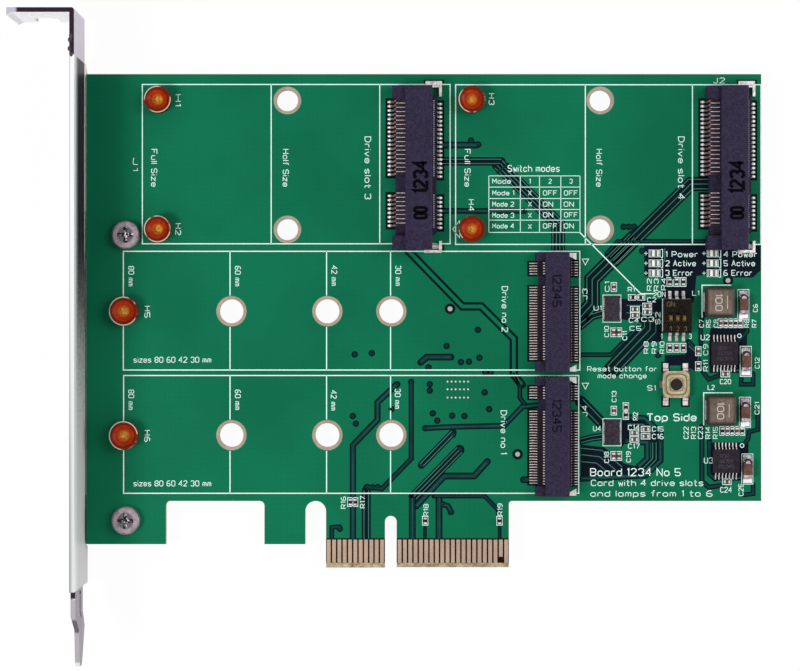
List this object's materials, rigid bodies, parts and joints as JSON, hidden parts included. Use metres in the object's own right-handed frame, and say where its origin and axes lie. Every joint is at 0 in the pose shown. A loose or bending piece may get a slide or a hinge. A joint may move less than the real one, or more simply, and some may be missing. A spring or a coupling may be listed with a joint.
{
  "type": "expansion card with drive sockets",
  "caption": "Expansion card for a computer slot, with a steel bracket and edge sockets that hold small solid-state drives lying flat.",
  "frame": {"origin": "on the contact edge at the key notch's centre line, halfway through the board's thickness", "axes": "+X from the bracket to the card's far end, +Y from the contact edge to the card's top edge, +Z out of the component side"},
  "size_m": [0.1392, 0.12, 0.0184],
  "materials": {
    "solder_mask_board": "semi-gloss green solder mask over glass epoxy",
    "gold_contact": "thin gold plating",
    "tinned_copper": "dull tinned copper",
    "brass_standoff": "red-gold plated brass",
    "plated_steel": "bright nickel-plated sheet",
    "nickel_screw": "nickel plated",
    "socket_plastic": "moulded, satin",
    "tinned_contact": "tin plated",
    "switch_plastic": "moulded, satin",
    "switch_cover": "pale gold plated steel",
    "slider_plastic": "moulded",
    "amber_film": "clear amber film",
    "chip_resin": "moulded resin, matt",
    "capacitor_ceramic": "fired ceramic",
    "inductor_resin": "pressed iron powder, matt",
    "lamp_white": "white resin",
    "crystal_ceramic": "ceramic"
  },
  "bodies": {
    "card": {"back_capacitor_bodies": "capacitor_ceramic", "back_capacitor_ends": "tinned_contact", "bracket": "plated_steel", "bracket_screws": "nickel_screw", "circuit_board": "solder_mask_board", "controller_chip": "chip_resin", "controller_chip_pads": "tinned_copper", "crystal_base": "crystal_ceramic", "crystal_lid": "tinned_contact", "dip_switch_body": "switch_plastic", "dip_switch_leads": "tinned_contact", "dip_switch_tape": "amber_film", "edge_contacts_back": "gold_contact", "edge_contacts_front": "gold_contact", "inductor_bodies": "inductor_resin", "inductor_feet": "tinned_contact", "large_capacitor_bodies": "capacitor_ceramic", "large_capacitor_ends": "tinned_contact", "m2_1_contacts": "tinned_contact", "m2_1_hold_downs": "tinned_contact", "m2_1_housing": "socket_plastic", "m2_2_contacts": "tinned_contact", "m2_2_hold_downs": "tinned_contact", "m2_2_housing": "socket_plastic", "m2_plated_holes": "tinned_copper", "m2_standoffs": "brass_standoff", "memory_chip": "chip_resin", "memory_chip_leads": "tinned_contact", "msata_1_contacts": "tinned_contact", "msata_1_hold_downs": "tinned_contact", "msata_1_housing": "socket_plastic", "msata_2_contacts": "tinned_contact", "msata_2_hold_downs": "tinned_contact", "msata_2_housing": "socket_plastic", "msata_plated_holes": "tinned_copper", "msata_standoffs": "brass_standoff", "regulator_chip_leads": "tinned_contact", "regulator_chips": "chip_resin", "reset_switch_base": "switch_plastic", "reset_switch_cover": "switch_cover", "reset_switch_leads": "tinned_contact", "resistor_bodies": "chip_resin", "resistor_ends": "tinned_contact", "signal_chip_pads": "tinned_copper", "signal_chips": "chip_resin", "small_capacitor_bodies": "capacitor_ceramic", "small_capacitor_ends": "tinned_contact", "status_lamp_bases": "lamp_white", "status_lamp_lenses": "lamp_white"},
    "reset_button_body": {"reset_button": "switch_plastic"},
    "dip_slider_1_body": {"dip_slider_1": "slider_plastic"},
    "dip_slider_2_body": {"dip_slider_2": "slider_plastic"},
    "dip_slider_3_body": {"dip_slider_3": "slider_plastic"}
  },
  "joints": [
    {"name": "reset_press", "type": "slide", "parent": "card", "child": "reset_button_body", "axis": [0, 0, -1], "range_m": [0, 0.00025], "stiffness_N_per_m": 4000},
    {"name": "dip_1_slide", "type": "slide", "parent": "card", "child": "dip_slider_1_body", "axis": [0, 1, 0], "range_m": [0, 0.0009]},
    {"name": "dip_2_slide", "type": "slide", "parent": "card", "child": "dip_slider_2_body", "axis": [0, 1, 0], "range_m": [0, 0.0009]},
    {"name": "dip_3_slide", "type": "slide", "parent": "card", "child": "dip_slider_3_body", "axis": [0, 1, 0], "range_m": [0, 0.0009]}
  ]
}
